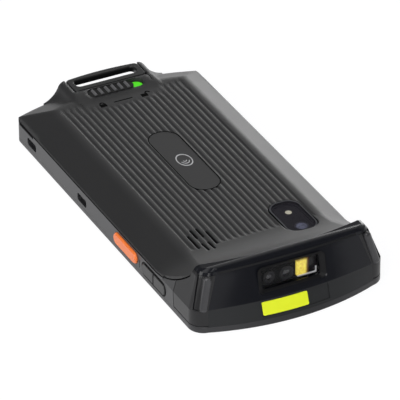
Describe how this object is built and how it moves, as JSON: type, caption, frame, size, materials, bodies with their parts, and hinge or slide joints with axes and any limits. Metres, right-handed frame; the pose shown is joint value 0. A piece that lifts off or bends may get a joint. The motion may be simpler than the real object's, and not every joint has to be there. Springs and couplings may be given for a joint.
{
  "type": "portable barcode data terminal",
  "caption": "Rugged handheld data terminal with a scan head, ribbed hinged rear cover, cover latch, strap bar, side keys and camera window.",
  "frame": {"origin": "middle of the body, on the display face that the terminal lies on", "axes": "+Z out of the rear cover, +Y towards the strap bar, -Y towards the scan head, +X to the power key side"},
  "size_m": [0.0798, 0.1642, 0.0236],
  "materials": {
    "amber_plastic": "amber phosphor",
    "bar_plastic": "satin black",
    "battery_plastic": "black pack",
    "board_black": "black",
    "board_green": "solder mask",
    "bumper_rubber": "moulded black",
    "camera_cover_glass": "tinted",
    "clear_plastic": "silvery diffuser",
    "contact_brass": "gilt",
    "copper": "copper foil",
    "cover_plastic": "fine grain, dark grey",
    "display_glass": "polished, black behind",
    "flash_plastic": "pale yellow",
    "frame_plastic": "smooth, dark grey",
    "gloss_black": "polished black",
    "green_plastic": "bright green",
    "inlay_plastic": "smooth, dark grey",
    "key_plastic": "satin black",
    "latch_plastic": "satin black",
    "lens_glass": "coated",
    "orange_plastic": "orange",
    "seal_rubber": "soft black",
    "shield_steel": "plated",
    "spring_steel": "spring temper",
    "window_glass": "tinted",
    "yellow_label": "blank printed label"
  },
  "bodies": {
    "terminal": {"aimer_lens": "lens_glass", "antenna_carrier": "board_black", "battery_contacts": "contact_brass", "battery_pack": "battery_plastic", "bay_seal": "seal_rubber", "bumper_left": "bumper_rubber", "bumper_right": "bumper_rubber", "camera_glass": "camera_cover_glass", "camera_module": "board_black", "camera_trim": "gloss_black", "display_panel": "board_black", "earpiece": "board_black", "engine_bracket": "shield_steel", "flash_led": "flash_plastic", "frame_screws": "shield_steel", "front_bezel": "frame_plastic", "front_camera": "board_black", "illuminator": "amber_plastic", "illuminator_lens": "clear_plastic", "imager_lens": "lens_glass", "label_plate": "yellow_label", "main_board": "board_green", "mid_frame": "frame_plastic", "scan_engine": "board_black", "scan_window": "window_glass", "scanner_cap": "gloss_black", "shield_cans": "shield_steel", "side_key_flex_left": "board_black", "side_key_flex_right": "board_black", "speaker_module": "board_black", "strap_bar": "bar_plastic", "touch_glass": "display_glass", "usb_port": "shield_steel", "vibration_motor": "shield_steel"},
    "cover": {"rear_cover": "cover_plastic", "label_inlay": "inlay_plastic", "nfc_antenna": "copper", "latch_indicator": "green_plastic", "latch_spring": "spring_steel"},
    "latch": {"latch_slider": "latch_plastic", "latch_bolt": "latch_plastic"},
    "scan_key_left": {"scan_key_left": "orange_plastic"},
    "scan_key_right": {"scan_key_right": "orange_plastic"},
    "volume_up_key": {"volume_up_key": "key_plastic"},
    "volume_down_key": {"volume_down_key": "key_plastic"},
    "power_key": {"power_key": "key_plastic"}
  },
  "joints": [
    {"name": "cover_hinge", "type": "hinge", "parent": "terminal", "child": "cover", "pos_m": [0, -0.0691, 0.02275], "axis": [1, 0, 0], "range_deg": [0, 30]},
    {"name": "latch_slide", "type": "slide", "parent": "cover", "child": "latch", "axis": [1, 0, 0], "range_m": [0, 0.0036]},
    {"name": "scan_key_left_press", "type": "slide", "parent": "terminal", "child": "scan_key_left", "axis": [1, 0, 0], "range_m": [0, 0.0006], "stiffness_N_per_m": 3000, "springref_m": -0.0003},
    {"name": "scan_key_right_press", "type": "slide", "parent": "terminal", "child": "scan_key_right", "axis": [-1, 0, 0], "range_m": [0, 0.0006], "stiffness_N_per_m": 3000, "springref_m": -0.0003},
    {"name": "volume_up_press", "type": "slide", "parent": "terminal", "child": "volume_up_key", "axis": [1, 0, 0], "range_m": [0, 0.0005], "stiffness_N_per_m": 3000, "springref_m": -0.0003},
    {"name": "volume_down_press", "type": "slide", "parent": "terminal", "child": "volume_down_key", "axis": [1, 0, 0], "range_m": [0, 0.0005], "stiffness_N_per_m": 3000, "springref_m": -0.0003},
    {"name": "power_key_press", "type": "slide", "parent": "terminal", "child": "power_key", "axis": [-1, 0, 0], "range_m": [0, 0.0005], "stiffness_N_per_m": 3000, "springref_m": -0.0003}
  ]
}
